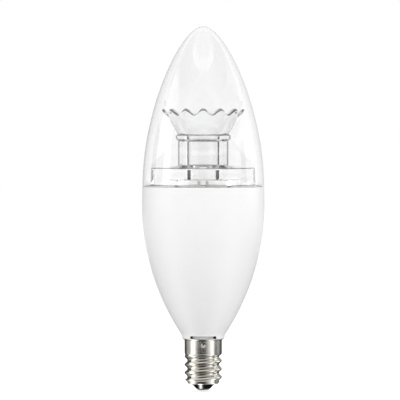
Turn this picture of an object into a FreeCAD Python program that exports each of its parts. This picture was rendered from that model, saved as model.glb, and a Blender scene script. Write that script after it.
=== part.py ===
import FreeCAD, Part
import math
import os

# LED candle bulb with a candelabra screw cap, in millimetres.
# Z = 0 is the tip of the centre contact. The bulb stands above it with its axis on Z.

# Screw shell, rolled from thin plated sheet
sheet = 0.3
thread_radius = 5.8
thread_depth = 0.9
thread_pitch = 2.54
thread_crest_height = 7.15
thread_top = 12.1
thread_runout = 1.27
thread_fade = 0.85
band_tuck = 0.1
band_radius = 5.8
rim_flare = 0.4
rim_width = 0.14
rim_top = 16.57
shell_bottom = 2.4
shell_toe_radius = 0.6
shell_mouth_radius = 3.7
dimple_height = 14.64
dimple_radius = 0.7
dimple_depth = 0.28

# Insulator and centre contact
insulator_tip_radius = 1.8
insulator_tip_height = 0.6
insulator_plug_length = 3.4
insulator_gap = 0.1
contact_head_radius = 1.6
contact_flat_radius = 0.7
contact_shank_radius = 0.85
contact_wall = 0.3
contact_flange = 0.45

# Housing
neck_overhang = 0.26
neck_fillet = 3.2
belly_radius = 19.05
flank_radius = 73.75
collar_length = 5.17
collar_inset = 0.07
collar_round = 0.25
housing_wall = 1.5
spigot_length = 3.6
spigot_wall = 1.05
slot_count = 2
slot_width = 8.0
slot_height = 0.85

# Dome
dome_inset = 0.18
dome_height = 49.6
dome_flank_handle = 23.3
dome_nose_handle = 7.27
dome_wall = 0.8
dome_spigot_depth = 1.8
dome_spigot_wall = 0.9
dome_shoulder = 0.6
dome_edge_round = 0.3

# Light guide
foot_gap = 1.07
foot_height = 6.1
foot_round = 0.4
column_radius = 7.85
column_height = 10.0
column_root_width = 2.95
column_root_rise = 0.7
bore_radius = 4.55
foot_bore_radius = 4.05
led_cavity_depth = 2.4
lip_width = 0.7
lip_height = 1.9
crown_height = 7.3
crown_gap = 1.63
crown_wall = 0.9
crown_root_inset = 0.65
crown_root_depth = 0.6
crown_scallops = 14
scallop_rise = 0.85
flute_depth = 0.45
peg_count = 3
peg_radius = 0.8
peg_inset = 3.6
peg_grip = 0.8

# Light-emitting board, its pad and the heat sink
board_margin = 0.5
board_thickness = 1.0
pad_thickness = 0.3
seat_height = 0.7
plate_thickness = 1.5
sink_wall = 1.0
sink_skirt_length = 28.0
wire_hole_radius = 1.9
seal_height = 0.4
led_count = 6
led_side = 2.8
led_height = 0.7
led_window_radius = 1.1
led_window_depth = 0.15
led_bore_gap = 0.45

# Driver and its liner
sleeve_wall = 0.8
sleeve_length = 36.0
driver_board_thickness = 1.0
driver_board_side_room = 4.55
driver_board_headroom = 1.2
driver_board_tail = 1.9
core_width = 13.0
core_height = 12.5
core_depth = 6.0
core_leg = 3.0
core_yoke = 2.0
core_headroom = 4.5
bobbin_wall = 0.6
winding_build = 1.2
bulk_radius = 4.0
bulk_length = 13.0
output_radius = 3.15
output_length = 10.5
can_groove = 0.3
can_groove_height = 1.2
film_width = 7.2
film_height = 9.0
film_depth = 4.5
film_round = 0.55
choke_radius = 3.0
choke_height = 6.5
choke_flange = 1.0
choke_waist = 2.1
rectifier_width = 4.7
rectifier_height = 4.0
rectifier_depth = 2.4
chip_width = 4.9
chip_height = 3.9
chip_depth = 1.5
part_spacing = 1.0
resistor_radius = 1.3
resistor_length = 5.5
resistor_round = 0.4
resistor_pin_length = 1.4
pin_radius = 0.3
lead_radius = 0.45
lead_spread = 1.25
lead_reach = 2.3
lead_loop = 1.7
lead_bend = 1.0
shell_lead_reach = 3.0
shell_lead_drop = 0.65

# Clearances
slip = 0.05
assembly_gap = 0.2
running_room = 0.3

# How many points the smooth faces pass through
thread_columns = 36
thread_rows_per_turn = 12
crown_rows = 5
crown_columns_per_scallop = 8
dome_wall_points = 12
dome_bore_points = 60

# Radii and levels that follow from the sizes above
rim_radius = band_radius + rim_flare + rim_width
thread_root = thread_radius - thread_depth
thread_bottom = shell_bottom + shell_toe_radius
plug_top = shell_bottom + sheet + insulator_plug_length
neck_radius = rim_radius + neck_overhang
spigot_radius = band_radius - sheet - slip
spigot_bore = spigot_radius - spigot_wall
spigot_bottom = rim_top - spigot_length
flank_center = belly_radius - flank_radius
fillet_center = neck_radius + neck_fillet
belly_rise = math.sqrt((flank_radius + neck_fillet) ** 2 - (fillet_center - flank_center) ** 2)
belly_height = rim_top + belly_rise
joint_height = belly_height + collar_length
collar_radius = belly_radius - collar_inset
dome_radius = belly_radius - dome_inset
dome_top = joint_height + dome_height
dome_spigot_radius = dome_radius - dome_shoulder
dome_spigot_bore = dome_spigot_radius - dome_spigot_wall
seal_seat = joint_height - dome_spigot_depth - seal_height
seat_top = seal_seat + seat_height
board_bottom = seat_top + pad_thickness
board_top = board_bottom + board_thickness
foot_radius = dome_spigot_bore - foot_gap
board_radius = foot_radius - board_margin
peg_circle = board_radius - peg_inset
foot_top = board_top + foot_height
lip_top = foot_top + column_height
lip_radius = column_radius + lip_width
plate_bottom = seal_seat - plate_thickness
sink_inset = housing_wall + assembly_gap
sleeve_inset = sink_inset + sink_wall + assembly_gap
cavity_inset = sleeve_inset + sleeve_wall + running_room
sleeve_top = plate_bottom - running_room
sleeve_bottom = sleeve_top - sleeve_length
driver_top = sleeve_top - sleeve_wall - driver_board_headroom
driver_bottom = rim_top - driver_board_tail
board_face = driver_board_thickness / 2

origin = FreeCAD.Vector(0, 0, 0)
up = FreeCAD.Vector(0, 0, 1)
front = -math.pi / 2
tiny = 1e-6


def point(radius, height):
    return FreeCAD.Vector(radius, 0, height)


def flank_radius_at(inset, height):
    """Radius of the housing's long flank arc, or of an arc set in from it."""
    reach = (flank_radius - inset) ** 2 - (height - belly_height) ** 2
    return flank_center + math.sqrt(reach)


def flank_height_at(inset, radius):
    """Height below the belly at which that arc comes in to a radius."""
    return belly_height - math.sqrt((flank_radius - inset) ** 2 - (radius - flank_center) ** 2)


class Outline:
    """Half of a turned section in the XZ plane, drawn edge by edge and closed when it is turned."""

    def __init__(self, radius, height):
        self.start = point(radius, height)
        self.here = self.start
        self.edges = []

    def line(self, radius, height):
        end = point(radius, height)
        self.edges.append(Part.makeLine(self.here, end))
        self.here = end
        return self

    def arc(self, center, stop):
        """An arc about a centre, the short way round, to a point at the same distance from it."""
        middle = point(*center)
        end = point(*stop)
        radius = (self.here - middle).Length
        halfway = ((self.here - middle) + (end - middle)).normalize()
        self.edges.append(Part.Arc(self.here, middle + halfway * radius, end).toShape())
        self.here = end
        return self

    def flank(self, inset, height):
        """Along the flank arc, set in by an amount, to a height."""
        return self.arc((flank_center, belly_height), (flank_radius_at(inset, height), height))

    def spline(self, curve, end):
        self.edges.append(curve.toShape())
        self.here = end
        return self

    def turned(self):
        self.line(self.start.x, self.start.z)
        face = Part.Face(Part.Wire(self.edges))
        return face.revolve(origin, up, 360)


def rod(radius, low, high, x=0.0, y=0.0):
    return Part.makeCylinder(radius, high - low, FreeCAD.Vector(x, y, low), up)


def block(width, depth, low, high, x=0.0, y=0.0):
    corner = FreeCAD.Vector(x - width / 2, y - depth / 2, low)
    return Part.makeBox(width, depth, high - low, corner)


def upright_edges(box):
    return [edge for edge in box.Edges if edge.tangentAt(edge.FirstParameter).cross(up).Length < tiny]


def around(shape, count):
    """Copies of a shape at even angles about the axis."""
    copies = []
    for index in range(count):
        copy = shape.copy()
        copy.rotate(origin, up, 360.0 * index / count)
        copies.append(copy)
    return copies


def wire_run(points, bend, radius):
    """A round wire along straight runs that are joined by tangent arcs."""
    edges = []
    here = points[0]
    for before, corner, after in zip(points, points[1:], points[2:]):
        inward = (before - corner).normalize()
        onward = (after - corner).normalize()
        half_turn = (math.pi - inward.getAngle(onward)) / 2
        start = corner + inward * (bend * math.tan(half_turn))
        stop = corner + onward * (bend * math.tan(half_turn))
        center = corner + (inward + onward).normalize() * (bend / math.cos(half_turn))
        middle = center + (corner - center).normalize() * bend
        edges.append(Part.makeLine(here, start))
        edges.append(Part.Arc(start, middle, stop).toShape())
        here = stop
    edges.append(Part.makeLine(here, points[-1]))
    section = Part.Wire([Part.makeCircle(radius, points[0], points[1] - points[0])])
    return Part.Wire(edges).makePipeShell([section], True, True)


def skin(point_at, rows, columns):
    """A smooth face through point_at(angle, fraction), closed round the axis."""
    grid = []
    for row in range(rows + 1):
        ring = [point_at(2 * math.pi * column / columns, row / rows) for column in range(columns)]
        grid.append(ring + ring[:1])
    surface = Part.BSplineSurface()
    surface.interpolate(grid)
    return surface.toShape()


def end_edge(face, highest):
    """The edge of a skin that runs right round its upper or lower end."""
    rings = [edge for edge in face.Edges if edge.firstVertex().Point.isEqual(edge.lastVertex().Point, tiny)]
    return sorted(rings, key=lambda edge: edge.BoundBox.Center.z)[-1 if highest else 0]


def sewn_solid(faces):
    shell = Part.makeShell(faces)
    shell.sewShape()
    solid = Part.Solid(shell)
    if solid.Volume < 0:
        solid.reverse()
    return solid


def smooth_step(value):
    value = min(max(value, 0.0), 1.0)
    return value * value * (3 - 2 * value)


def threaded_plug(inset):
    """The rolled thread as a solid plug. It runs out under the band above and fades into the toe below."""
    tucked_top = thread_top + 2 * sheet
    rows = round((tucked_top - thread_bottom) / thread_pitch * thread_rows_per_turn)

    def point_at(angle, fraction):
        height = thread_bottom + (tucked_top - thread_bottom) * fraction
        groove = (1 - math.cos(2 * math.pi * (height - thread_crest_height) / thread_pitch - angle)) / 2
        runout = smooth_step((thread_top - height) / thread_runout)
        toe = smooth_step((height - thread_bottom) / thread_fade)
        tuck = (thread_radius - band_radius + band_tuck) * smooth_step((height - thread_top) / sheet + 1)
        radius = thread_radius - inset - tuck - thread_depth * (1 - toe * (1 - runout * groove))
        return FreeCAD.Vector(radius * math.cos(angle), radius * math.sin(angle), height)

    side = skin(point_at, rows, thread_columns)
    ends = [Part.Face(Part.Wire([end_edge(side, highest)])) for highest in (False, True)]
    return sewn_solid([side] + ends)


def shell_toe(inset):
    """The rounded lower end of the shell, where the sheet turns in under the thread."""
    corner = thread_root - inset - slip / 2
    toe = Outline(0, shell_bottom + inset)
    toe.line(thread_root - slip / 2 - shell_toe_radius, shell_bottom + inset)
    toe.arc((toe.here.x, thread_bottom), (corner, thread_bottom))
    toe.line(corner, thread_bottom + sheet)
    toe.line(0, thread_bottom + sheet)
    return toe.turned()


def shell_band():
    """The plain band and flared rim, filled."""
    flare_start = rim_top - sheet - rim_flare
    band = Outline(0, thread_top).line(band_radius, thread_top).line(band_radius, flare_start)
    band.arc((band_radius + rim_flare, flare_start), (band_radius + rim_flare, flare_start + rim_flare))
    band.line(rim_radius, rim_top - sheet).line(rim_radius, rim_top).line(0, rim_top)
    return band.turned()


def shell_band_hollow():
    flare_start = rim_top - sheet - rim_flare
    hollow = Outline(0, thread_top).line(band_radius - sheet, thread_top)
    hollow.line(band_radius - sheet, flare_start)
    hollow.arc((band_radius + rim_flare, flare_start), (band_radius + rim_flare, rim_top))
    hollow.line(band_radius + rim_flare, rim_top + sheet).line(0, rim_top + sheet)
    return hollow.turned()


def dimple_balls(inset):
    """Balls that press the staking dimples into the band, one under each slot, grown by an inset."""
    ball_radius = (dimple_radius ** 2 + dimple_depth ** 2) / (2 * dimple_depth)
    center = FreeCAD.Vector(0, -(band_radius + ball_radius - dimple_depth), dimple_height)
    return around(Part.makeSphere(ball_radius + inset, center), slot_count)


def make_screw_shell():
    outside = threaded_plug(0).fuse([shell_toe(0), shell_band()])
    hollow = threaded_plug(sheet).fuse([shell_toe(sheet), shell_band_hollow()])
    mouth = rod(shell_mouth_radius, 0, thread_bottom)
    for bump in dimple_balls(sheet):
        hollow = hollow.cut(bump)
    shell = outside.cut(hollow).cut(mouth)
    for ball in dimple_balls(0):
        shell = shell.cut(ball)
    return shell


def make_cap_insulator():
    seat = shell_bottom + sheet
    plug_radius = thread_root - sheet - insulator_gap
    chamfer = shell_toe_radius
    plug = Outline(contact_shank_radius, insulator_tip_height)
    plug.line(insulator_tip_radius, insulator_tip_height)
    plug.line(shell_mouth_radius - slip, shell_bottom)
    plug.line(shell_mouth_radius - slip, seat)
    plug.line(plug_radius - chamfer, seat)
    plug.line(plug_radius, seat + chamfer)
    plug.line(plug_radius, plug_top)
    plug.line(contact_shank_radius, plug_top)
    return plug.turned()


def make_centre_contact():
    head_center = (contact_head_radius ** 2 + insulator_tip_height ** 2 - contact_flat_radius ** 2) / (
        2 * insulator_tip_height
    )
    eyelet = Outline(0, 0).line(contact_flat_radius, 0)
    eyelet.arc((0, head_center), (contact_head_radius, insulator_tip_height))
    eyelet.line(contact_shank_radius, insulator_tip_height).line(contact_shank_radius, plug_top)
    eyelet.line(contact_shank_radius + contact_flange, plug_top)
    eyelet.line(contact_shank_radius + contact_flange, plug_top + contact_wall)
    eyelet.line(contact_shank_radius - contact_wall, plug_top + contact_wall)
    eyelet.line(contact_shank_radius - contact_wall, contact_wall).line(0, contact_wall)
    return eyelet.turned()


def make_housing_shell():
    bore_meets_flank = flank_height_at(housing_wall, spigot_bore)
    blend = math.atan2(rim_top - belly_height, fillet_center - flank_center)
    blend_point = (
        flank_center + flank_radius * math.cos(blend),
        belly_height + flank_radius * math.sin(blend),
    )
    wall = Outline(spigot_bore, spigot_bottom).line(spigot_radius, spigot_bottom)
    wall.line(spigot_radius, rim_top).line(neck_radius, rim_top)
    wall.arc((fillet_center, rim_top), blend_point)
    wall.flank(0, belly_height)
    wall.line(collar_radius, joint_height - collar_round)
    edge_radius = collar_radius - collar_round
    wall.arc((edge_radius, joint_height - collar_round), (edge_radius, joint_height))
    wall.line(dome_spigot_radius + slip, joint_height).line(dome_spigot_radius + slip, seal_seat)
    wall.line(belly_radius - housing_wall, seal_seat).line(belly_radius - housing_wall, belly_height)
    wall.flank(housing_wall, bore_meets_flank)
    housing = wall.turned()
    slot = block(slot_width, 2 * neck_radius, rim_top, rim_top + slot_height, y=-neck_radius)
    slot = slot.cut(rod(spigot_radius, rim_top - slip, rim_top + slot_height + slip))
    for notch in around(slot, slot_count) + dimple_balls(sheet + slip):
        housing = housing.cut(notch)
    return housing


def dome_curve():
    """The dome's outer flank: upright where it leaves the joint and level at the tip."""
    curve = Part.BezierCurve()
    curve.setPoles([
        point(dome_radius, joint_height + dome_edge_round),
        point(dome_radius, joint_height + dome_flank_handle),
        point(dome_nose_handle, dome_top),
        point(0, dome_top),
    ])
    return curve


def dome_inner_points(count):
    """Points on the dome's inner wall, one wall's thickness in along the outer wall's normals."""
    curve = dome_curve()
    points = []
    for index in range(count + 1):
        parameter = index / count
        along = curve.tangent(parameter)[0]
        inward = FreeCAD.Vector(-along.z, 0, along.x)
        points.append(curve.value(parameter) + inward * dome_wall)
    return points


def dome_bore_at(height):
    """Radius of the dome's inner wall at a height."""
    points = dome_inner_points(dome_bore_points)
    below, above = next(pair for pair in zip(points, points[1:]) if pair[1].z >= height)
    share = (height - below.z) / (above.z - below.z)
    return below.x + share * (above.x - below.x)


def make_dome_cover():
    inner_points = dome_inner_points(dome_wall_points)
    inner_points[-1] = point(0, dome_top - dome_wall)
    inner = Part.BSplineCurve()
    inner.interpolate(Points=inner_points, InitialTangent=point(0, 1), FinalTangent=point(-1, 0))
    shoulder = dome_radius - dome_wall - dome_spigot_bore
    dome = Outline(dome_spigot_bore, joint_height - dome_spigot_depth)
    dome.line(dome_spigot_radius, joint_height - dome_spigot_depth)
    dome.line(dome_spigot_radius, joint_height)
    dome.line(dome_radius - dome_edge_round, joint_height)
    edge_height = joint_height + dome_edge_round
    dome.arc((dome_radius - dome_edge_round, edge_height), (dome_radius, edge_height))
    dome.spline(dome_curve(), point(0, dome_top))
    dome.line(0, dome_top - dome_wall)
    dome.spline(inner, inner_points[0])
    dome.line(dome_spigot_bore, joint_height - shoulder)
    return dome.turned()


def crown_skin(inset):
    """One side of the fluted funnel. It ends in a wavy rim, with a crest at the front."""
    root = lip_radius - crown_root_inset
    rise = crown_root_depth + crown_height
    rim = dome_bore_at(lip_top + crown_height + scallop_rise) - crown_gap

    def point_at(angle, fraction):
        wave = math.cos(crown_scallops * (angle - front)) * fraction ** 2
        radius = root + (rim - root) * fraction + flute_depth * wave - inset
        height = lip_top - crown_root_depth + (rise + scallop_rise * wave) * fraction
        return FreeCAD.Vector(radius * math.cos(angle), radius * math.sin(angle), height)

    return skin(point_at, crown_rows, crown_columns_per_scallop * crown_scallops)


def make_crown():
    outside = crown_skin(0)
    inside = crown_skin(crown_wall)
    rim = Part.makeRuledSurface(end_edge(outside, True), end_edge(inside, True))
    foot = Part.makeRuledSurface(end_edge(outside, False), end_edge(inside, False))
    return sewn_solid([outside, inside, rim, foot])


def led_circle():
    return foot_bore_radius + led_bore_gap + led_side / 2


def make_light_guide():
    cavity_radius = math.hypot(led_circle() + led_side / 2, led_side / 2) + running_room
    cavity_top = board_top + led_cavity_depth
    lip_bottom = lip_top - lip_height
    body = Outline(foot_bore_radius, cavity_top).line(cavity_radius, cavity_top)
    body.line(cavity_radius, board_top)
    body.line(foot_radius, board_top).line(foot_radius, foot_top - foot_round)
    body.arc((foot_radius - foot_round, foot_top - foot_round), (foot_radius - foot_round, foot_top))
    body.line(column_radius + column_root_width, foot_top)
    body.line(column_radius, foot_top + column_root_rise).line(column_radius, lip_bottom)
    body.line(lip_radius, lip_bottom + lip_width).line(lip_radius, lip_top)
    body.line(bore_radius, lip_top).line(bore_radius, foot_top).line(foot_bore_radius, foot_top)
    peg = rod(peg_radius, seat_top - peg_grip, board_top + slip, x=peg_circle)
    return body.turned().fuse([make_crown()] + around(peg, peg_count)).removeSplitter()


def peg_holes(low, high, gap):
    return around(rod(peg_radius + gap, low, high, x=peg_circle), peg_count)


def drilled_disc(radius, low, high):
    """A disc with the wire hole and the holes for the light guide's pegs."""
    disc = rod(radius, low, high).cut(rod(wire_hole_radius, low, high))
    for hole in peg_holes(low, high, slip):
        disc = disc.cut(hole)
    return disc


def make_led_emitters():
    led_top = board_top + led_height
    package = block(led_side, led_side, board_top, led_top, x=led_circle())
    window = rod(led_window_radius, led_top - led_window_depth, led_top, x=led_circle())
    return Part.makeCompound(around(package.cut(window), led_count))


def make_seal_bead():
    ring = Outline(dome_spigot_bore, seal_seat).line(dome_spigot_radius, seal_seat)
    ring.line(dome_spigot_radius, seal_seat + seal_height).line(dome_spigot_bore, seal_seat + seal_height)
    return ring.turned()


def make_heat_sink_cup():
    outer_radius = belly_radius - sink_inset
    skirt_bottom = plate_bottom - sink_skirt_length
    cup = Outline(wire_hole_radius, plate_bottom)
    cup.line(outer_radius - sink_wall, plate_bottom).line(outer_radius - sink_wall, belly_height)
    cup.flank(sink_inset + sink_wall, skirt_bottom)
    cup.line(flank_radius_at(sink_inset, skirt_bottom), skirt_bottom)
    cup.flank(sink_inset, belly_height)
    cup.line(outer_radius, seal_seat).line(foot_radius, seal_seat).line(foot_radius, seat_top)
    cup.line(wire_hole_radius, seat_top)
    sink = cup.turned()
    for hole in peg_holes(seat_top - peg_grip - slip, seat_top, slip):
        sink = sink.cut(hole)
    return sink


def make_driver_sleeve():
    outer_radius = belly_radius - sleeve_inset
    sleeve = Outline(wire_hole_radius, sleeve_top).line(outer_radius, sleeve_top)
    sleeve.line(outer_radius, belly_height).flank(sleeve_inset, sleeve_bottom)
    sleeve.line(flank_radius_at(sleeve_inset + sleeve_wall, sleeve_bottom), sleeve_bottom)
    sleeve.flank(sleeve_inset + sleeve_wall, belly_height)
    sleeve.line(outer_radius - sleeve_wall, sleeve_top - sleeve_wall)
    sleeve.line(wire_hole_radius, sleeve_top - sleeve_wall)
    return sleeve.turned()


def make_driver_board():
    """The board fills the cavity's width, down to a tail that stands in the neck."""
    tail_radius = spigot_bore - running_room
    cavity = Outline(0, driver_bottom).line(tail_radius, driver_bottom)
    cavity.line(tail_radius, flank_height_at(cavity_inset, tail_radius))
    cavity.flank(cavity_inset, belly_height)
    cavity.line(cavity.here.x, driver_top).line(0, driver_top)
    half_width = belly_radius - cavity_inset - driver_board_side_room
    slab = block(2 * half_width, driver_board_thickness, driver_bottom, driver_top)
    return slab.common(cavity.turned())


def transformer_center():
    """Height and depth of the transformer, which stands on the front of the board."""
    winding_half_depth = core_depth / 2 + bobbin_wall + winding_build
    return driver_top - core_headroom - core_height / 2, -(board_face + winding_half_depth)


def make_transformer_core():
    height, depth = transformer_center()
    low = height - core_height / 2
    high = height + core_height / 2
    side_leg = core_leg / 2
    window_width = (core_width - core_leg - 2 * side_leg) / 2
    core = block(core_width, core_depth, low, high, y=depth)
    for side in (-1, 1):
        x = side * (core_leg + window_width) / 2
        core = core.cut(block(window_width, core_depth, low + core_yoke, high - core_yoke, x, depth))
    return core


def bobbin_window():
    height, depth = transformer_center()
    reach = core_height / 2 - core_yoke - slip
    return height - reach, height + reach, depth


def make_transformer_bobbin():
    low, high, depth = bobbin_window()
    leg = block(core_leg + 2 * slip, core_depth + 2 * slip, low, high, y=depth)
    tube = block(core_leg + 2 * bobbin_wall, core_depth + 2 * bobbin_wall, low, high, y=depth)
    build = 2 * (bobbin_wall + winding_build)
    flanges = [
        block(core_leg + build, core_depth + build, low, low + bobbin_wall, y=depth),
        block(core_leg + build, core_depth + build, high - bobbin_wall, high, y=depth),
    ]
    return tube.fuse(flanges).cut(leg).removeSplitter()


def make_transformer_winding():
    low, high, depth = bobbin_window()
    build = 2 * (bobbin_wall + winding_build) - 2 * slip
    coil = block(core_leg + build, core_depth + build, low + bobbin_wall, high - bobbin_wall, y=depth)
    coil = coil.makeFillet(winding_build, upright_edges(coil))
    tube = block(core_leg + 2 * bobbin_wall, core_depth + 2 * bobbin_wall, low, high, y=depth)
    return coil.cut(tube)


def lying_can(radius, low, high, x):
    """A capacitor can that lies against the back of the board, with a rolled groove near its foot."""
    y = board_face + radius
    groove_low = low + can_groove_height
    groove_high = groove_low + 2 * can_groove
    groove = rod(radius + slip, groove_low, groove_high, x, y).cut(rod(radius - can_groove, low, high, x, y))
    return rod(radius, low, high, x, y).cut(groove)


def back_row():
    """Level of the two cans, which stand side by side below the board's upper edge."""
    return driver_top - core_headroom


def make_bulk_capacitor():
    return lying_can(bulk_radius, back_row() - bulk_length, back_row(), -(bulk_radius + part_spacing / 2))


def make_output_capacitor():
    return lying_can(output_radius, back_row() - output_length, back_row(), output_radius + part_spacing / 2)


def make_film_capacitor():
    high = back_row() - bulk_length - part_spacing
    y = board_face + film_depth / 2
    box = block(film_width, film_depth, high - film_height, high, y=y)
    return box.makeFillet(film_round, upright_edges(box))


def make_line_choke():
    """A drum with a narrower waist of wire between its end flanges."""
    height, depth = transformer_center()
    high = height - core_height / 2 - part_spacing
    low = high - choke_height
    y = -(board_face + choke_radius)
    drum = Outline(0, low).line(choke_radius, low).line(choke_radius, low + choke_flange)
    drum.line(choke_waist, low + choke_flange).line(choke_waist, high - choke_flange)
    drum.line(choke_radius, high - choke_flange).line(choke_radius, high).line(0, high)
    shape = drum.turned()
    shape.translate(FreeCAD.Vector(0, y, 0))
    return shape


def make_bridge_rectifier():
    height, depth = transformer_center()
    high = height - core_height / 2 - choke_height - 2 * part_spacing
    y = -(board_face + rectifier_depth / 2)
    return block(rectifier_width, rectifier_depth, high - rectifier_height, high, y=y)


def make_driver_chip():
    high = back_row() - bulk_length - film_height - 2 * part_spacing
    y = board_face + chip_depth / 2
    return block(chip_width, chip_depth, high - chip_height, high, y=y)


def make_fusible_resistor():
    high = driver_bottom - resistor_pin_length
    body = rod(resistor_radius, high - resistor_length, high)
    body = body.makeFillet(resistor_round, [edge for edge in body.Edges if edge.BoundBox.ZLength < slip])
    return body.fuse(rod(pin_radius, high - slip, driver_bottom)).removeSplitter()


def make_tip_lead():
    return rod(pin_radius, contact_wall, driver_bottom - resistor_pin_length - resistor_length)


def make_shell_lead():
    """From the board's tail, round the end of the housing's spigot, to the inside of the screw shell."""
    y = -(board_face + pin_radius)
    low = spigot_bottom - shell_lead_drop
    reach = math.sqrt((band_radius - sheet - assembly_gap) ** 2 - (abs(y) + pin_radius) ** 2)
    run = [
        FreeCAD.Vector(shell_lead_reach, y, driver_bottom + 2 * lead_bend),
        FreeCAD.Vector(shell_lead_reach, y, low),
        FreeCAD.Vector(reach, y, low),
    ]
    return wire_run(run, lead_bend, pin_radius)


def make_led_leads():
    """Two wires from the driver's upper edge, through the wire hole and over to pads on the board of LEDs."""
    run = [
        FreeCAD.Vector(lead_spread, 0, driver_top),
        FreeCAD.Vector(lead_spread, 0, board_top + lead_loop),
        FreeCAD.Vector(lead_spread, lead_reach, board_top + lead_loop),
        FreeCAD.Vector(lead_spread, lead_reach, board_top),
    ]
    return Part.makeCompound(around(wire_run(run, lead_bend, lead_radius), 2))


nodes = {
    "dome_cover": make_dome_cover(),
    "light_guide": make_light_guide(),
    "led_emitters": make_led_emitters(),
    "led_board": drilled_disc(board_radius, board_bottom, board_top),
    "thermal_pad": drilled_disc(board_radius, seat_top, board_bottom),
    "seal_bead": make_seal_bead(),
    "heat_sink_cup": make_heat_sink_cup(),
    "housing_shell": make_housing_shell(),
    "driver_sleeve": make_driver_sleeve(),
    "driver_board": make_driver_board(),
    "transformer_core": make_transformer_core(),
    "transformer_bobbin": make_transformer_bobbin(),
    "transformer_winding": make_transformer_winding(),
    "bulk_capacitor": make_bulk_capacitor(),
    "output_capacitor": make_output_capacitor(),
    "film_capacitor": make_film_capacitor(),
    "line_choke": make_line_choke(),
    "bridge_rectifier": make_bridge_rectifier(),
    "driver_chip": make_driver_chip(),
    "fusible_resistor": make_fusible_resistor(),
    "led_leads": make_led_leads(),
    "shell_lead": make_shell_lead(),
    "tip_lead": make_tip_lead(),
    "screw_shell": make_screw_shell(),
    "cap_insulator": make_cap_insulator(),
    "centre_contact": make_centre_contact(),
}

os.makedirs("parts", exist_ok=True)
for name, shape in nodes.items():
    shape.exportStep("parts/" + name + ".step")
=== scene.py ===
import math

import bpy
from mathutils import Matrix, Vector


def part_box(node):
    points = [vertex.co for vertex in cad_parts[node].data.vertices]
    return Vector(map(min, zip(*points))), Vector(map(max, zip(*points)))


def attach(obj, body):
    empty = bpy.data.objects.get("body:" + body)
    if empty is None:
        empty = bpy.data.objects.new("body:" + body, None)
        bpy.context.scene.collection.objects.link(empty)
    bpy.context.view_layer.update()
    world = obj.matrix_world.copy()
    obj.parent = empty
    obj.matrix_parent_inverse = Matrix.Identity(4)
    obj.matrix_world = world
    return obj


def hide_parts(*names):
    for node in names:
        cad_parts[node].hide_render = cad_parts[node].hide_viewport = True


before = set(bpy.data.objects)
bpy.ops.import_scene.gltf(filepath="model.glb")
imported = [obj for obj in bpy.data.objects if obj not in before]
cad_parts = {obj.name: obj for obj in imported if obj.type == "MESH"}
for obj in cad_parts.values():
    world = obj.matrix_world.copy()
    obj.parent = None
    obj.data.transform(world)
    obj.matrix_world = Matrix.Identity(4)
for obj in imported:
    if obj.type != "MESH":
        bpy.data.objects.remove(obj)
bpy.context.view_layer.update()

# Sizes are in millimetres, except in the studio, and meshes are made in metres.
# Z = 0 is the tip of the centre contact and the photo looks along +Y.
MM = 0.001


# Centre contact
# A tinned brass eyelet that is pressed through the black glass. Its head is the lamp's live contact,
# and its shank is spread over a flange inside the cap.

def frame_size(node):
    """Outer radius, lowest and highest level of a node of the frame, in millimetres."""
    low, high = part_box(node)
    return high.x / MM, low.z / MM, high.z / MM


def rounded(corners, steps=5):
    """An outline of (radius, height, rounding) whose corners are turned into short arcs.

    Each arc has a point just before and after it, which keeps the shading of the flat walls flat.
    """
    guard = 0.03
    outline = []
    for index, (radius, height, rounding) in enumerate(corners):
        here = Vector((radius, height))
        if rounding == 0:
            outline.append((radius, height))
            continue
        before = (Vector(corners[index - 1][:2]) - here).normalized()
        after = (Vector(corners[(index + 1) % len(corners)][:2]) - here).normalized()
        half = before.angle(after) / 2
        reach = rounding / math.tan(half)
        centre = here + (before + after).normalized() * (rounding / math.sin(half))
        outline.append(tuple(here + before * (reach + guard)))
        for step in range(steps + 1):
            share = step / steps
            spoke = (here + before * reach - centre) * (1 - share) + (here + after * reach - centre) * share
            outline.append(tuple(centre + spoke.normalized() * rounding))
        outline.append(tuple(here + after * (reach + guard)))
    return outline


def solid(name, points, faces):
    """A new object of the scene from points in metres."""
    mesh = bpy.data.meshes.new(name)
    mesh.from_pydata(points, [], faces)
    piece = bpy.data.objects.new(name, mesh)
    bpy.context.scene.collection.objects.link(piece)
    return piece


def spun(name, outline, columns):
    """A closed body of revolution about Z from an outline of (radius, height)."""
    area = sum(a[0] * b[1] - b[0] * a[1] for a, b in zip(outline, outline[1:] + outline[:1]))
    if area < 0:
        outline = outline[::-1]
    points, rings = [], []
    for radius, height in outline:
        on_axis = radius < 1e-9
        ring = []
        for column in range(1 if on_axis else columns):
            angle = 2 * math.pi * column / columns
            ring.append(len(points))
            points.append((radius * MM * math.cos(angle), radius * MM * math.sin(angle), height * MM))
        rings.append(ring)
    faces = []
    for lower, upper in zip(rings, rings[1:] + rings[:1]):
        if len(lower) == len(upper) == 1:
            continue
        for column in range(columns):
            onward = (column + 1) % columns
            corners = [lower[column % len(lower)], lower[onward % len(lower)]]
            corners += [upper[onward % len(upper)], upper[column % len(upper)]]
            faces.append(list(dict.fromkeys(corners)))
    return solid(name, points, faces)


def shade(piece, crease=32):
    """Smooth shading that breaks at edges sharper than the crease, in degrees."""
    mesh = piece.data
    mesh.shade_smooth()
    mesh.set_sharp_from_angle(angle=math.radians(crease))
    return piece


def linked(tree, kind, **inputs):
    """A new node of a tree. Its inputs are set or joined by name, with _ for a space."""
    node = tree.nodes.new(kind)
    for name, value in inputs.items():
        socket = node.inputs[name.replace("_", " ")]
        if isinstance(value, bpy.types.NodeSocket):
            tree.links.new(value, socket)
        else:
            socket.default_value = value
    return node


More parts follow.
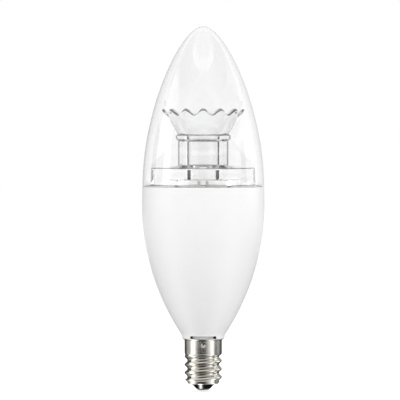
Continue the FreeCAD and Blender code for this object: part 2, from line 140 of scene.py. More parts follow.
def finish(name, light, dark, rough, patch, grain, bump, stretch=(1, 1, 1), **shader):
    """A material whose colour drifts between two shades in patches and whose gloss and relief follow a grain.

    Patch, grain and bump are in millimetres: the size of a patch, of a grain and the height of the relief.
    Rough is the range of roughness, and stretch draws the grain out along the axes with small values.
    """
    material = bpy.data.materials.new(name)
    material.use_nodes = True
    tree = material.node_tree
    patch_range, grain_range = (0.35, 0.65), (0.3, 0.7)
    surface = tree.nodes["Principled BSDF"]
    spot = linked(tree, "ShaderNodeTexCoord").outputs["Object"]
    drawn = linked(tree, "ShaderNodeMapping", Vector=spot, Scale=stretch).outputs["Vector"]
    broad = linked(tree, "ShaderNodeTexNoise", Vector=spot, Scale=1 / (patch * MM), Detail=3.0)
    fine = linked(tree, "ShaderNodeTexNoise", Vector=drawn, Scale=1 / (grain * MM), Detail=4.0)
    colour = tree.nodes.new("ShaderNodeValToRGB")
    for element, position, tone in zip(colour.color_ramp.elements, patch_range, (dark, light)):
        element.position, element.color = position, (*tone, 1)
    tree.links.new(broad.outputs["Fac"], colour.inputs["Fac"])
    gloss = linked(
        tree, "ShaderNodeMapRange", Value=fine.outputs["Fac"],
        From_Min=grain_range[0], From_Max=grain_range[1], To_Min=rough[0], To_Max=rough[1],
    )
    relief = linked(tree, "ShaderNodeBump", Height=fine.outputs["Fac"], Strength=1.0, Distance=bump * MM)
    tree.links.new(colour.outputs["Color"], surface.inputs["Base Color"])
    tree.links.new(gloss.outputs["Result"], surface.inputs["Roughness"])
    tree.links.new(relief.outputs["Normal"], surface.inputs["Normal"])
    for socket, value in shader.items():
        surface.inputs[socket.replace("_", " ")].default_value = value
    return material


def place(piece, material, slot, *nodes):
    """Gives the piece its material and body, and puts it in the place of its nodes of the frame. The slot is
    not used.
    """
    if material is not None:
        piece.data.materials.clear()
        piece.data.materials.append(material)
    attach(piece, "root")
    if nodes:
        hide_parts(*nodes)


tinned_brass = finish(
    "tinned_brass", (0.80, 0.77, 0.71), (0.66, 0.62, 0.55), (0.16, 0.34), patch=0.8, grain=0.25, bump=0.004,
    Metallic=1.0,
)
contact_radius, contact_low, contact_top = frame_size("centre_contact")
contact_flat, contact_rim_height = 0.7, 0.6
shank_radius, eyelet_wall, flange_width = 0.85, 0.3, 0.45
head_rise = (contact_radius ** 2 + contact_rim_height ** 2 - contact_flat ** 2) / (2 * contact_rim_height)
head_radius = math.hypot(contact_flat, head_rise)
head_steps = 9
head = [(contact_flat, contact_low)]
for step in range(1, head_steps):
    height = contact_rim_height * step / head_steps
    head.append((math.sqrt(head_radius ** 2 - (head_rise - height) ** 2), height))
eyelet = [(0, contact_low)] + head + rounded([
    (contact_radius, contact_rim_height, 0),
    (shank_radius, contact_rim_height, 0.05),
    (shank_radius, contact_top - eyelet_wall, 0.05),
    (shank_radius + flange_width, contact_top - eyelet_wall, 0.08),
    (shank_radius + flange_width, contact_top, 0.08),
    (shank_radius - eyelet_wall, contact_top, 0.2),
    (shank_radius - eyelet_wall, contact_low + eyelet_wall, 0.1),
]) + [(0, contact_low + eyelet_wall)]
contact = shade(spun("contact_eyelet", eyelet, columns=96))
place(contact, tinned_brass, "contact_metal", "centre_contact")


# Cap insulator
# Black glass that is poured into the end of the shell and pressed to a cone round the eyelet. Its surface is
# fire-polished, so it is glossy with a soft waviness.

black_glass = finish(
    "black_glass", (0.012, 0.012, 0.013), (0.006, 0.006, 0.006), (0.02, 0.05), patch=2, grain=1.6, bump=0.004,
    Specular_IOR_Level=0.6,
)
glass_radius, glass_low, glass_top = frame_size("cap_insulator")
shell_low = frame_size("screw_shell")[1]
cone_tip_radius, mouth_radius, sheet = 1.8, 3.65, 0.3
cone = rounded([
    (shank_radius, glass_low, 0),
    (cone_tip_radius, glass_low, 0.18),
    (mouth_radius, shell_low, 0.1),
    (mouth_radius, shell_low + sheet, 0.05),
    (glass_radius - 0.6, shell_low + sheet, 0.1),
    (glass_radius, shell_low + sheet + 0.6, 0.3),
    (glass_radius, glass_top, 0.1),
    (shank_radius, glass_top, 0.05),
])
insulator = shade(spun("black_glass_cone", cone, columns=128))
place(insulator, black_glass, "cap_black_glass", "cap_insulator")


# Screw shell
# Thin brass sheet, drawn to a cup, nickel-plated and rolled between two threaded wheels. The rim is flared
# over the housing and the plain band is punched in at the front and back to hold it on the plastic.

def climb(radius, low, high, spacing):
    """Evenly spaced points of an upright wall, without its two ends."""
    count = max(1, round(abs(high - low) / spacing))
    return [(radius, low + (high - low) * index / count, 0) for index in range(1, count)]


def new_tree(name, **sizes):
    """A Geometry Nodes tree with named number inputs. Returns the tree and its input node."""
    tree = bpy.data.node_groups.new(name, "GeometryNodeTree")
    tree.interface.new_socket("Geometry", in_out="INPUT", socket_type="NodeSocketGeometry")
    for label, value in sizes.items():
        kind = "NodeSocketInt" if isinstance(value, int) else "NodeSocketFloat"
        tree.interface.new_socket(label.replace("_", " "), in_out="INPUT", socket_type=kind)
    tree.interface.new_socket("Geometry", in_out="OUTPUT", socket_type="NodeSocketGeometry")
    return tree, tree.nodes.new("NodeGroupInput").outputs


def sums(tree):
    """A function that adds math nodes to a tree, as in work("MULTIPLY", a, b)."""
    def work(operation, *values):
        node = tree.nodes.new("ShaderNodeMath")
        node.operation = operation
        for socket, value in zip(node.inputs, values):
            if isinstance(value, bpy.types.NodeSocket):
                tree.links.new(value, socket)
            else:
                socket.default_value = value
        return node.outputs[0]
    return work


def coordinates(tree):
    """X, Y and Z of each point that a tree works on."""
    position = linked(tree, "GeometryNodeInputPosition").outputs["Position"]
    return linked(tree, "ShaderNodeSeparateXYZ", Vector=position).outputs


def distance_from_axis(work, x, y):
    """Distance of each point from the Z axis, in a tree."""
    return work("SQRT", work("ADD", work("MULTIPLY", x, x), work("MULTIPLY", y, y)))


def smooth_share(tree, value, low, high):
    """0 below the low value, 1 above the high one, and a smooth step between."""
    node = linked(tree, "ShaderNodeMapRange", Value=value, From_Min=low, From_Max=high)
    node.interpolation_type = "SMOOTHSTEP"
    return node.outputs["Result"]


def close_tree(tree, geometry, material):
    """The tree ends in real geometry that carries its material."""
    real = linked(tree, "GeometryNodeRealizeInstances", Geometry=geometry)
    painted = linked(tree, "GeometryNodeSetMaterial", Geometry=real.outputs["Geometry"], Material=material)
    linked(tree, "NodeGroupOutput", Geometry=painted.outputs["Geometry"])


def settle(piece):
    """Turns a piece with its modifiers into a plain mesh."""
    settled = piece.evaluated_get(bpy.context.evaluated_depsgraph_get())
    mesh = bpy.data.meshes.new_from_object(settled)
    piece.modifiers.clear()
    piece.data = mesh


def grown(piece, tree, **sizes):
    """Runs a tree on a piece with the given sizes and keeps the result as its plain mesh."""
    modifier = piece.modifiers.new(tree.name, "NODES")
    modifier.node_group = tree
    for item in tree.interface.items_tree:
        label = item.name.replace(" ", "_")
        if item.item_type == "SOCKET" and item.in_out == "INPUT" and label in sizes:
            modifier[item.identifier] = sizes[label]
    settle(piece)
    return piece


rim_radius, shell_low, rim_top = frame_size("screw_shell")
band_radius, thread_depth = 5.8, 0.9
thread_pitch, crest_height, thread_fade, thread_runout = 2.54, 7.15, 0.85, 1.27
punch_height, punch_radius, punch_depth = 14.64, 0.72, 0.28
rim_height, rim_curl = 0.7, [(0.03, 0.15), (0.12, 0.29), (0.26, 0.38)]
thread_root, mouth_gap = band_radius - thread_depth, 0.05
toe_radius, thread_top, band_top = 0.6, 12.1, rim_top - rim_height
thread_row, band_row, start_margin = 0.11, 0.13, 0.02
outer_wall = climb(band_radius, shell_low + toe_radius, thread_top, thread_row)
outer_wall += [(band_radius, thread_top, 0)] + climb(band_radius, thread_top, band_top, band_row)
bore = band_radius - sheet
inner_wall = [(bore, height, 0) for radius, height, rounding in outer_wall[::-2]]
blank = rounded([
    (mouth_radius + mouth_gap, shell_low, 0.1),
    (thread_root, shell_low, toe_radius - 0.01),
    (thread_root, shell_low + toe_radius, 0),
] + outer_wall + [
    (band_radius, band_top, 0),
] + [(band_radius + out, band_top + up, 0) for out, up in rim_curl] + [
    (rim_radius, rim_top - sheet, 0.08),
    (rim_radius, rim_top, 0.1),
    (band_radius + 0.1, rim_top, 0.15),
    (bore + 0.06, band_top + 0.2, 0),
] + inner_wall + [
    (thread_root - sheet, shell_low + toe_radius, 0),
    (thread_root - sheet, shell_low + sheet, toe_radius - sheet),
    (mouth_radius + mouth_gap, shell_low + sheet, 0.1),
], steps=4)

nickel = finish(
    "rolled_nickel", (0.74, 0.72, 0.67), (0.66, 0.64, 0.59), (0.05, 0.09), patch=3, grain=0.6, bump=0.0003,
    stretch=(0.35, 0.35, 4.0), Metallic=1.0,
)

rolling, size = new_tree(
    "thread_rolling", Depth=0.0, Pitch=1.0, Crest=0.0, Bottom=0.0, Top=0.0, Fade=1.0, Runout=1.0,
    Punch_height=0.0, Punch_radius=1.0, Punch_depth=0.0,
)
work = sums(rolling)
x, y, z = coordinates(rolling)
reach = distance_from_axis(work, x, y)
turn = work("MULTIPLY", work("DIVIDE", work("SUBTRACT", z, size["Crest"]), size["Pitch"]), 2 * math.pi)
wave = work("COSINE", work("SUBTRACT", turn, work("ARCTAN2", y, x)))
groove = work("MULTIPLY", work("SUBTRACT", 1.0, wave), 0.5)
runout = smooth_share(rolling, work("SUBTRACT", size["Top"], z), 0.0, size["Runout"])
toe = smooth_share(rolling, work("SUBTRACT", z, size["Bottom"]), 0.0, size["Fade"])
kept = work("MULTIPLY", toe, work("SUBTRACT", 1.0, work("MULTIPLY", runout, groove)))
sink = work("MULTIPLY", size["Depth"], work("SUBTRACT", 1.0, kept))
share = work("DIVIDE", work("SUBTRACT", reach, sink), reach)
off_centre = work("SUBTRACT", z, size["Punch height"])
square = work("ADD", work("MULTIPLY", x, x), work("MULTIPLY", off_centre, off_centre))
punch_square = work("MULTIPLY", size["Punch radius"], size["Punch radius"])
near = work("SUBTRACT", 1.0, work("DIVIDE", square, punch_square))
punched = work("MULTIPLY", size["Punch depth"], work("MAXIMUM", near, 0.0))
pressed = work("SUBTRACT", work("MULTIPLY", y, share), work("MULTIPLY", work("SIGN", y), punched))
rolled = linked(rolling, "ShaderNodeCombineXYZ", X=work("MULTIPLY", x, share), Y=pressed, Z=z)
above_toe = work("GREATER_THAN", z, work("ADD", size["Bottom"], start_margin * MM))
moved = linked(
    rolling, "GeometryNodeSetPosition", Geometry=size["Geometry"], Selection=above_toe,
    Position=rolled.outputs["Vector"],
)
close_tree(rolling, moved.outputs["Geometry"], nickel)

shell = grown(
    spun("rolled_screw_shell", blank, columns=320), rolling,
    Depth=thread_depth * MM, Pitch=thread_pitch * MM, Crest=crest_height * MM,
    Bottom=(shell_low + toe_radius) * MM, Top=thread_top * MM,
    Fade=thread_fade * MM, Runout=thread_runout * MM,
    Punch_height=punch_height * MM, Punch_radius=punch_radius * MM, Punch_depth=punch_depth * MM,
)
shade(shell, 50)
place(shell, None, "cap_nickel", "screw_shell")


# Driver in the cap and neck
# A fusible resistor stands on the tip lead, and one wire is pinched between the shell and the housing.
# The wires are drawn copper, tinned or in white sleeving.

resistor_coat = finish(
    "resistor_coat", (0.10, 0.26, 0.16), (0.07, 0.20, 0.12), (0.3, 0.5), patch=1.5, grain=0.3, bump=0.01,
)
bare_wire = finish(
    "bare_wire", (0.80, 0.76, 0.70), (0.70, 0.66, 0.60), (0.2, 0.35), patch=1, grain=0.2, bump=0.003,
    Metallic=1.0,
)
white_sleeving = finish(
    "white_sleeving", (0.86, 0.86, 0.85), (0.80, 0.80, 0.79), (0.4, 0.55), patch=2, grain=0.3, bump=0.006,
)
place(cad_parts["fusible_resistor"], resistor_coat, "resistor_coat")
place(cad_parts["tip_lead"], bare_wire, "wire_bare")
place(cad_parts["shell_lead"], bare_wire, "wire_bare")
place(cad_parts["led_leads"], white_sleeving, "wire_white")


# Driver board and its parts
# A narrow glass-laminate board stands on edge in the housing with a small transformer, three capacitors, a
# choke, a rectifier and a chip soldered to it. The liner, heat sink, pad and the dome's seal lie round it.

driver_finishes = {
    "driver_board": ("circuit_laminate", (0.05, 0.20, 0.09), (0.04, 0.16, 0.07), (0.3, 0.5), 0.0),
    "transformer_core": ("ferrite", (0.06, 0.06, 0.065), (0.04, 0.04, 0.045), (0.5, 0.7), 0.0),
    "transformer_bobbin": ("bobbin_plastic", (0.03, 0.03, 0.03), (0.02, 0.02, 0.02), (0.4, 0.5), 0.0),
    "transformer_winding": ("winding_tape", (0.75, 0.55, 0.10), (0.66, 0.47, 0.08), (0.3, 0.4), 0.0),
    "bulk_capacitor": ("can_sleeve", (0.03, 0.05, 0.12), (0.02, 0.04, 0.09), (0.3, 0.4), 0.0),
    "output_capacitor": ("can_sleeve", (0.03, 0.05, 0.12), (0.02, 0.04, 0.09), (0.3, 0.4), 0.0),
    "film_capacitor": ("film_case", (0.62, 0.42, 0.08), (0.55, 0.36, 0.07), (0.35, 0.5), 0.0),
    "line_choke": ("ferrite", (0.06, 0.06, 0.065), (0.04, 0.04, 0.045), (0.5, 0.7), 0.0),
    "bridge_rectifier": ("chip_black", (0.03, 0.03, 0.03), (0.02, 0.02, 0.02), (0.5, 0.65), 0.0),
    "driver_chip": ("chip_black", (0.03, 0.03, 0.03), (0.02, 0.02, 0.02), (0.5, 0.65), 0.0),
    "driver_sleeve": ("sleeve_plastic", (0.80, 0.80, 0.78), (0.74, 0.74, 0.72), (0.4, 0.55), 0.0),
    "heat_sink_cup": ("sink_aluminium", (0.78, 0.78, 0.79), (0.70, 0.70, 0.71), (0.3, 0.45), 1.0),
    "thermal_pad": ("pad_silicone", (0.42, 0.44, 0.48), (0.36, 0.38, 0.42), (0.6, 0.75), 0.0),
    "seal_bead": ("seal_silicone", (0.72, 0.72, 0.70), (0.66, 0.66, 0.64), (0.35, 0.5), 0.0),
}
for node, (slot, light, dark, rough, metal) in driver_finishes.items():
    material = finish(node + "_finish", light, dark, rough, patch=3, grain=0.4, bump=0.006, Metallic=metal)
    place(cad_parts[node], material, slot)


# Housing shell
# One moulding in satin white plastic over the heat sink, from the wide collar that takes the dome down to a
# spigot inside the screw shell. Two low slots over the cap, front and back, open into the neck at their ends.

housing_white = finish(
    "satin_white_plastic", (0.90, 0.90, 0.90), (0.885, 0.885, 0.885), (0.34, 0.42), patch=12, grain=0.35,
    bump=0.004,
)
spigot_low, joint = frame_size("housing_shell")[1:]
belly_radius, belly_height, flank_radius = 19.05, 58.535, 73.75
flank_centre = belly_radius - flank_radius
neck_radius, neck_fillet = 6.6, 3.2
spigot_radius, spigot_bore = 5.45, 4.4
housing_wall, collar_radius, collar_round = 1.5, 18.98, 0.25
collar_bore, seal_seat, rim_level = 18.32, 61.5, 16.57


def flank(inset, low, high, count):
    """Points up the long arc of the housing's side, set in by a wall's thickness."""
    points = []
    for index in range(count + 1):
        height = low + (high - low) * index / count
        run = math.sqrt((flank_radius - inset) ** 2 - (height - belly_height) ** 2)
        points.append((flank_centre + run, height, 0))
    return points


fillet_centre = neck_radius + neck_fillet
fillet_turn = math.atan2(belly_height - rim_level, fillet_centre - flank_centre)
fillet_steps = 8
fillet = []
for step in range(1, fillet_steps + 1):
    angle = fillet_turn * step / fillet_steps
    fillet.append((
        fillet_centre - neck_fillet * math.cos(angle),
        rim_level + neck_fillet * math.sin(angle),
        0,
    ))
bore_height = belly_height - math.sqrt((flank_radius - housing_wall) ** 2 - (spigot_bore - flank_centre) ** 2)
housing_outline = rounded([
    (spigot_bore, spigot_low, 0.1),
    (spigot_radius, spigot_low, 0.15),
    (spigot_radius, rim_level, 0),
    (neck_radius - 0.1, rim_level, 0),
    (neck_radius - 0.02, rim_level + 0.03, 0),
] + fillet + flank(0, fillet[-1][1], belly_height, 60)[1:] + [
    (collar_radius, joint, collar_round),
    (collar_bore, joint, 0.1),
    (collar_bore, seal_seat, 0),
    (belly_radius - housing_wall, seal_seat, 0.1),
] + flank(housing_wall, belly_height, bore_height, 30))
housing = spun("white_housing", housing_outline, columns=256)


def upright_block(name, plan, low, high):
    """A closed block that stands on a plan of (x, y) points, in millimetres."""
    count = len(plan)
    points = [(x * MM, y * MM, level * MM) for level in (low, high) for x, y in plan]
    faces = [tuple(range(count))[::-1], tuple(range(count, 2 * count))]
    for corner in range(count):
        onward = (corner + 1) % count
        faces.append((corner, onward, onward + count, corner + count))
    return solid(name, points, faces)


def combine(piece, other, operation):
    """Cuts another closed mesh out of a piece or joins the two to one skin. The other one is used up."""
    boolean = piece.modifiers.new(operation, "BOOLEAN")
    boolean.object = other
    boolean.operation = operation
    boolean.solver = "MANIFOLD"
    settle(piece)
    bpy.data.objects.remove(other)


slot_width, slot_height, recess_radius = 8.0, 0.85, 5.0
window_width, window_depth, slot_reach = 0.8, 2.0, 8.0
half_width = slot_width / 2
half_turn = math.asin((half_width - window_width) / recess_radius)
bend_steps = 8
for side in (-1, 1):
    front, back = slot_reach * side, window_depth * side
    plan = [(half_width, front), (-half_width, front), (-half_width, back)]
    plan.append((-recess_radius * math.sin(half_turn), back))
    for step in range(-bend_steps, bend_steps + 1):
        angle = half_turn * step / bend_steps
        plan.append((recess_radius * math.sin(angle), recess_radius * math.cos(angle) * side))
    plan += [(recess_radius * math.sin(half_turn), back), (half_width, back)]
    slot = upright_block("slot", plan[::side], rim_level, rim_level + slot_height)
    combine(housing, slot, "DIFFERENCE")
shade(housing, 40)
place(housing, housing_white, "housing_white", "housing_shell")


# Board of light-emitting diodes
# A round aluminium board with white solder mask on a silicone pad. Six white packages with pale phosphor
# windows are soldered in a ring under the light guide's wall.

board_white = finish(
    "white_solder_mask", (0.86, 0.86, 0.85), (0.80, 0.80, 0.79), (0.25, 0.4), patch=4, grain=0.5, bump=0.01,
)
place(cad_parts["led_board"], board_white, "board_white")

package_white = finish(
    "package_white", (0.84, 0.84, 0.82), (0.80, 0.80, 0.78), (0.3, 0.45), patch=1, grain=0.2, bump=0.004,
)
phosphor = finish(
    "phosphor", (0.88, 0.84, 0.62), (0.84, 0.79, 0.52), (0.45, 0.6), patch=0.8, grain=0.15, bump=0.01,
)
board_low, board_top = frame_size("led_board")[1:]
emitter_radius, emitter_low, emitter_top = frame_size("led_emitters")
led_count, led_side, led_edge = 6, 2.8, 0.1
well_radius, well_depth, well_slope = 1.1, 0.15, 0.08
led_circle = emitter_radius - led_side / 2

ring_of_parts, size = new_tree("ring_of_parts", Count=1, Circle=0.0)
work = sums(ring_of_parts)
circle = linked(ring_of_parts, "GeometryNodeMeshCircle", Vertices=size["Count"], Radius=size["Circle"])
x, y, z = coordinates(ring_of_parts)
facing = linked(ring_of_parts, "ShaderNodeCombineXYZ", Z=work("ARCTAN2", y, x))
copies = linked(
    ring_of_parts, "GeometryNodeInstanceOnPoints", Points=circle.outputs["Mesh"], Instance=size["Geometry"],
    Rotation=facing.outputs["Vector"],
)
close_tree(ring_of_parts, copies.outputs["Instances"], package_white)

half = led_side / 2
square = [(-half, -half), (half, -half), (half, half), (-half, half)]
package = upright_block("led_packages", square, emitter_low, emitter_top)
edges = package.modifiers.new("edges", "BEVEL")
edges.width, edges.segments = led_edge * MM, 2
well_floor, well_mouth = emitter_top - well_depth, emitter_top + 0.1
well_outline = [(0, well_floor), (well_radius, well_floor)]
well_outline += [(well_radius + well_slope, well_mouth), (0, well_mouth)]
combine(package, spun("well", well_outline, columns=48), "DIFFERENCE")
grown(package, ring_of_parts, Count=led_count, Circle=led_circle * MM)
shade(package, 30)
place(package, None, "led_package", "led_emitters")

fill_radius, fill_edge, fill_bulge, fill_gap = well_radius * 0.98, 0.04, 0.09, 0.02
fill_steps = 6
fill = [(0, well_floor), (well_radius - fill_gap, well_floor)]
for step in range(fill_steps):
    angle = step * math.pi / (2 * fill_steps)
    fill.append((fill_radius * math.cos(angle), well_floor + fill_edge + fill_bulge * math.sin(angle)))
fill.append((0, well_floor + fill_edge + fill_bulge))
window = spun("phosphor_windows", fill, columns=48)
grown(window, ring_of_parts, Count=led_count, Circle=led_circle * MM)
shade(window, 50)
place(window, phosphor, None)


# Light guide
# One clear moulding: a thick foot pegged to the board, a hollow column that carries the light up, a lip, and
# a fluted crown whose wavy rim throws the light out at the height of a flame.

def clear_plastic(name, ior, ripple, bump):
    """Clear moulded plastic with a faint ripple in its polished skin."""
    return finish(
        name, (0.995, 0.995, 0.995), (0.985, 0.987, 0.987), (0.0, 0.006), patch=8, grain=ripple, bump=bump,
        Transmission_Weight=1.0, IOR=ior,
    )


clear_optic = clear_plastic("clear_optic", 1.49, 4.0, 0.002)
column_radius, column_height, lip_width, lip_height = 7.85, 10.0, 0.7, 1.9
foot_radius, foot_height, foot_round = 16.3, 6.1, 0.4
bore_radius, foot_bore_radius = 4.55, 4.05
cavity_radius, cavity_depth, cavity_round = 7.73, 2.4, 0.1
root_radius, root_rise = 10.8, 0.7
foot_top = board_top + foot_height
lip_top = foot_top + column_height
lip_radius = column_radius + lip_width
crown_root, crown_rim_radius, crown_wall = 7.9, 12.9, 0.9
crown_height, crown_root_depth = 7.3, 0.6
crown_rows, crown_rim_round = 18, 0.38
crown_rise = crown_height + crown_root_depth


def crown_side(inset, count):
    """Points up one side of the crown before it is fluted."""
    points = []
    for index in range(count + 1):
        height = lip_top + crown_height * index / count
        share = (height - lip_top + crown_root_depth) / crown_rise
        points.append((crown_root + (crown_rim_radius - crown_root) * share - inset, height))
    return points


outer_side = [(*spot, 0) for spot in crown_side(0, crown_rows)]
inner_side = [(*spot, 0) for spot in crown_side(crown_wall, crown_rows)][::-1]
guide_outline = rounded([
    (foot_bore_radius, board_top + cavity_depth, 0.1),
    (cavity_radius, board_top + cavity_depth, cavity_round),
    (cavity_radius, board_top, 0.1),
    (foot_radius, board_top, 0.2),
    (foot_radius, foot_top, foot_round),
    (root_radius, foot_top, 0.1),
    (column_radius, foot_top + root_rise, 0.1),
    (column_radius, lip_top - lip_height, 0.2),
    (lip_radius, lip_top - lip_height + lip_width, 0.2),
    (lip_radius, lip_top, 0.2),
    (outer_side[0][0], lip_top, 0.06),
] + outer_side[1:-1] + [
    (*outer_side[-1][:2], crown_rim_round),
    (*inner_side[0][:2], crown_rim_round),
] + inner_side[1:-1] + [
    (inner_side[-1][0], lip_top, 0.15),
    (bore_radius, lip_top, 0.2),
    (bore_radius, foot_top, 0.1),
    (foot_bore_radius, foot_top, 0.1),
])

guide = spun("clear_light_guide", guide_outline, columns=336)
peg_count, peg_radius, peg_circle, peg_root = 3, 0.8, 12.2, 0.4
pad_thickness, peg_grip = 0.3, 0.8
peg_low, peg_top = board_low - pad_thickness - peg_grip, board_top + peg_root
peg_outline = rounded([
    (0, peg_low, 0),
    (peg_radius, peg_low, 0.15),
    (peg_radius, peg_top, 0),
    (0, peg_top, 0),
])
for peg_index in range(peg_count):
    peg = spun("peg", peg_outline, columns=32)
    turn = 2 * math.pi * peg_index / peg_count
    for corner in peg.data.vertices:
        corner.co.x += peg_circle * MM * math.cos(turn)
        corner.co.y += peg_circle * MM * math.sin(turn)
    combine(guide, peg, "UNION")

scallops, scallop_rise, flute_depth = 14, 0.85, 0.45
fluting, size = new_tree("crown_fluting", Scallops=1, Rise=0.0, Flute=0.0, Root=0.0, Height=1.0, Start=0.0)
work = sums(fluting)
x, y, z = coordinates(fluting)
reach = distance_from_axis(work, x, y)
share = work("DIVIDE", work("SUBTRACT", z, size["Root"]), size["Height"])
swing = work("COSINE", work("MULTIPLY", work("ARCTAN2", y, x), size["Scallops"]))
wave = work("MULTIPLY", swing, work("MULTIPLY", share, share))
widen = work("DIVIDE", work("ADD", reach, work("MULTIPLY", wave, size["Flute"])), reach)
lifted = work("SUBTRACT", z, work("MULTIPLY", work("MULTIPLY", wave, share), size["Rise"]))
fluted = linked(
    fluting, "ShaderNodeCombineXYZ", X=work("MULTIPLY", x, widen), Y=work("MULTIPLY", y, widen), Z=lifted,
)
moved = linked(
    fluting, "GeometryNodeSetPosition", Geometry=size["Geometry"], Position=fluted.outputs["Vector"],
    Selection=work("GREATER_THAN", z, size["Start"]),
)
close_tree(fluting, moved.outputs["Geometry"], clear_optic)
grown(
    guide, fluting,
    Scallops=scallops, Rise=scallop_rise * MM, Flute=-flute_depth * MM,
    Root=(lip_top - crown_root_depth) * MM, Height=crown_rise * MM, Start=(lip_top + start_margin) * MM,
)
shade(guide, 32)
guide.visible_shadow = False
place(guide, None, "clear_optic", "light_guide")


# Dome cover
# Clear plastic, blown into a pointed dome with an even wall. Its open end has a step: the spigot drops into
# the housing's collar on a bead of silicone and the shoulder sits on the collar's edge.

clear_cover = clear_plastic("clear_cover", 1.52, 20.0, 0.002)
dome_radius, spigot_end, dome_top = frame_size("dome_cover")
flank_handle, nose_handle, dome_wall = 23.3, 7.27, 0.8
dome_spigot_radius, dome_spigot_bore, edge_round = 18.27, 17.37, 0.3
dome_steps = 110


def dome_points(inset, count):
    """Points up the dome's side, set in along its normals."""
    handles = [
        Vector((dome_radius, joint + edge_round)), Vector((dome_radius, joint + flank_handle)),
        Vector((nose_handle, dome_top)), Vector((0, dome_top)),
    ]
    points = []
    for index in range(count + 1):
        t = index / count
        weights = ((1 - t) ** 3, 3 * t * (1 - t) ** 2, 3 * t * t * (1 - t), t ** 3)
        slopes = (-3 * (1 - t) ** 2, 3 * (1 - t) * (1 - 3 * t), 3 * t * (2 - 3 * t), 3 * t * t)
        spot = sum((handle * weight for handle, weight in zip(handles, weights)), Vector((0, 0)))
        along = sum((handle * slope for handle, slope in zip(handles, slopes)), Vector((0, 0))).normalized()
        points.append((max(0.0, spot.x - along.y * inset), spot.y + along.x * inset, 0))
    points[-1] = (0.0, dome_top - inset, 0)
    return points


outside = dome_points(0, dome_steps)
inside = dome_points(dome_wall, dome_steps)
dome_outline = rounded([
    (dome_spigot_bore, spigot_end, 0.1),
    (dome_spigot_radius, spigot_end, 0.15),
    (dome_spigot_radius, joint, 0.08),
    (dome_radius, joint, edge_round - 0.01),
] + outside[1:] + inside[:0:-1] + [
    (inside[0][0], joint + edge_round, 0),
    (inside[0][0], joint, 0.2),
    (dome_spigot_bore, joint - (dome_radius - dome_wall - dome_spigot_bore), 0.2),
])
dome = shade(spun("clear_dome", dome_outline, columns=256), 40)
dome.visible_shadow = False
place(dome, clear_cover, "clear_cover", "dome_cover")


# Studio
# A white table and surround, a soft box on each side, and four fills that no reflection shows. Unlit cards
# and rings give the clear plastic its lines and the metal its dark and bright bands. Lamps, cards and table
# are measured in metres and degrees.

def face_towards(thing, target):
    """Turns a lamp or a camera to a point."""
    thing.rotation_euler = (Vector(target) - thing.location).to_track_quat("-Z", "Y").to_euler()


def soft_box(name, azimuth, distance, height, width, tall, power):
    """A rectangular lamp. Azimuth 0 is the camera's side and 90 the right."""
    lamp = bpy.data.lights.new(name, "AREA")
    lamp.shape = "RECTANGLE"
    lamp.size, lamp.size_y = width, tall
    lamp.energy = power
    holder = bpy.data.objects.new(name, lamp)
    turn = math.radians(azimuth)
    holder.location = (distance * math.sin(turn), -distance * math.cos(turn), height)
    face_towards(holder, (0, 0, 0.06))
    holder.visible_camera = False
    bpy.context.scene.collection.objects.link(holder)
    return holder


def unlit(name, points, faces, colour):
    """A board of one flat colour, seen only by reflections and by light that passes the clear plastic."""
    board = solid(name, points, faces)
    paint = bpy.data.materials.new(name)
    paint.use_nodes = True
    paint.node_tree.nodes.clear()
    glow = linked(paint.node_tree, "ShaderNodeEmission", Color=(*colour, 1), Strength=1.0)
    linked(paint.node_tree, "ShaderNodeOutputMaterial", Surface=glow.outputs["Emission"])
    board.data.materials.append(paint)
    board.visible_camera = board.visible_diffuse = board.visible_shadow = False
    return board


def card(name, azimuth, distance, low, high, width, colour):
    """An upright unlit card that faces the bulb. Azimuths are as for the lamps."""
    turn = math.radians(azimuth)
    side = Vector((math.cos(turn), math.sin(turn), 0)) * width / 2
    middle = Vector((distance * math.sin(turn), -distance * math.cos(turn), 0))
    corners = [middle - side, middle + side]
    points = [(*corner.xy, level) for level in (low, high) for corner in corners]
    return unlit(name, points, [(0, 1, 3, 2)], colour)


# Azimuth, distance, height, width, upright size and power of each lamp. The fills only light the surfaces.
soft_box("left_side_box", -86, 0.9, 0.15, 0.6, 1.2, 3.0)
soft_box("right_side_box", 106, 0.9, 0.05, 0.5, 0.5, 1.6)
fills = [
    soft_box("top_fill", 0, 0.1, 0.95, 0.8, 0.8, 1.6),
    soft_box("left_fill", -50, 0.9, 0.35, 0.75, 1.2, 0.9),
    soft_box("right_fill", 60, 0.9, 0.35, 0.75, 1.2, 2.1),
    soft_box("front_fill", 8, 1.6, 0.65, 1.2, 0.9, 8.2),
]
for lamp in fills:
    lamp.visible_glossy = lamp.visible_transmission = False

# Azimuth, distance, lower and upper edge, width and colour of each card. The edge cards show in reflections,
# the line cards through the plastic, and the camera card in both.
edge_cards = [
    card("left_edge_card", -135, 0.85, -0.05, 0.7, 1.0, (0.10, 0.10, 0.09)),
    card("right_edge_card", 145, 0.85, -0.05, 0.7, 0.6, (0.40, 0.40, 0.38)),
]
for edge_card in edge_cards:
    edge_card.visible_transmission = False
line_cards = [
    card("left_line_card", -103, 0.8, 0.047, 0.7, 0.50, (0.02, 0.02, 0.02)),
    card("right_line_card", 100, 0.8, 0.047, 0.7, 0.62, (0.03, 0.03, 0.03)),
]
for line_card in line_cards:
    line_card.visible_glossy = False
card("camera_card", 9, 0.9, -0.05, 1.6, 1.45, (0.33, 0.33, 0.31))


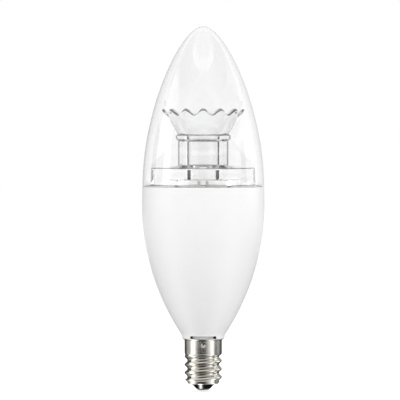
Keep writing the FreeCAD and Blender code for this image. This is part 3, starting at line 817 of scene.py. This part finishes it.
def ring_card(name, inner, outer, base, lobes, glossy, guide_only=False):
    """A ring between two (radius, height) edges that shows only in reflections, or only through the plastic.

    Lobes are (azimuth, spread, glow) and change its glow on one side. A ring for the guide only is white to
    light that has crossed no more than the four skins of the dome, so that the dome itself stays clear.
    """
    points, faces, glows = [], [], []
    columns, dome_skins = 90, 4
    for index in range(columns):
        azimuth = 360 * index / columns - 180
        turn = math.radians(azimuth)
        ray = (math.sin(turn), -math.cos(turn))
        points += [(reach * ray[0], reach * ray[1], level) for reach, level in (inner, outer)]
        onward = (index + 1) % columns
        faces.append((2 * index, 2 * index + 1, 2 * onward + 1, 2 * onward))
        extra = sum(peak * math.exp(-((azimuth - centre) / spread) ** 2) for centre, spread, peak in lobes)
        glows += [base + extra] * 2
    ring = unlit(name, points, faces, (1, 1, 1))
    ring.data.attributes.new("glow", "FLOAT", "POINT").data.foreach_set("value", glows)
    ring.visible_glossy = glossy
    ring.visible_transmission = not glossy
    looks = ring.data.materials[0].node_tree
    glow = looks.nodes.new("ShaderNodeAttribute")
    glow.attribute_name = "glow"
    strength = glow.outputs["Fac"]
    if guide_only:
        crossed = looks.nodes.new("ShaderNodeLightPath").outputs["Transmission Depth"]
        work = sums(looks)
        strength = work("MAXIMUM", strength, work("LESS_THAN", crossed, dome_skins + 0.5))
    looks.links.new(strength, looks.nodes["Emission"].inputs["Strength"])


side_glows = ((-66, 21, 2.0), (57, 14, 1.7), (34, 16, 0.6), (-108, 16, 0.35), (104, 18, 0.35))
back_shade = ((-180, 70, -0.99), (180, 70, -0.99))
side_shade = ((-90, 35, -0.95), (90, 35, -0.95))
# Inner and outer edge, glow, lobes, and whether reflections show it. Two are for the light guide only.
ring_card("under_cap_ring", (0.0012, 0.001), (0.0036, 0.001), 0.01, ((-20, 11, 16.0),), True)
ring_card("reflector_ring", (0.0042, 0.001), (0.36, 0.001), 0.08, side_glows, True)
ring_card("white_ceiling", (0.0, 0.6), (3.0, 0.6), 0.85, (), True)
ring_card("rim_ring", (0.08, 0.001), (0.24, 0.001), 0.02, (), False, True)
ring_card("dark_wall", (0.8, 0.26), (0.8, 0.8), 1.0, back_shade, False, True)
ring_card("side_ceiling", (0.25, 0.6), (1.0, 0.6), 1.0, side_shade, False)

table_half, table_glow = 2.5, 0.62
corners = [(x * table_half, y * table_half, 0) for x, y in ((-1, -1), (1, -1), (1, 1), (-1, 1))]
floor = solid("table", corners, [(0, 1, 2, 3)])
paper = bpy.data.materials.new("white_paper")
paper.use_nodes = True
paper.node_tree.nodes.clear()
looks = paper.node_tree
lit = linked(looks, "ShaderNodeBsdfDiffuse", Color=(0.70, 0.70, 0.70, 1))
rays = looks.nodes.new("ShaderNodeLightPath").outputs
work = sums(looks)
bent = work("MAXIMUM", rays["Is Glossy Ray"], rays["Is Transmission Ray"])
seen = work("MULTIPLY", work("MAXIMUM", rays["Is Camera Ray"], bent), table_glow)
glow = linked(looks, "ShaderNodeEmission", Color=(1, 1, 1, 1), Strength=seen)
both = linked(looks, "ShaderNodeAddShader")
looks.links.new(lit.outputs["BSDF"], both.inputs[0])
looks.links.new(glow.outputs["Emission"], both.inputs[1])
linked(looks, "ShaderNodeOutputMaterial", Surface=both.outputs["Shader"])
floor.data.materials.append(paper)

mirrored_room, lighting_room = 0.45, 0.60
world = bpy.data.worlds.new("surround")
bpy.context.scene.world = world
world.use_nodes = True
air = world.node_tree
rays = air.nodes.new("ShaderNodeLightPath").outputs
work = sums(air)
white_rays = work("MAXIMUM", rays["Is Camera Ray"], rays["Is Transmission Ray"])
mirrored = work("MULTIPLY", rays["Is Glossy Ray"], mirrored_room)
room = work("MAXIMUM", work("MAXIMUM", white_rays, mirrored), lighting_room)
air.links.new(room, air.nodes["Background"].inputs["Strength"])
air.nodes["Background"].inputs["Color"].default_value = (1, 1, 1, 1)

# The camera is measured in millimetres, like the bulb.
camera_distance, camera_height, picture_width = 1880.0, 110.0, 124.1
aim = Vector((-1.0, 0, 59.5))
lens = bpy.data.cameras.new("camera")
lens.sensor_width = 36
lens.lens = lens.sensor_width * camera_distance / picture_width
lens.clip_start, lens.clip_end = 0.1, 20
camera = bpy.data.objects.new("camera", lens)
camera.location = (aim.x * MM, -camera_distance * MM, camera_height * MM)
face_towards(camera, aim * MM)
bpy.context.scene.collection.objects.link(camera)
bpy.context.scene.camera = camera
bpy.context.scene.view_settings.view_transform = "Standard"
bpy.context.scene.cycles.max_bounces = 24
bpy.context.scene.cycles.transmission_bounces = 24
bpy.context.scene.cycles.glossy_bounces = 12
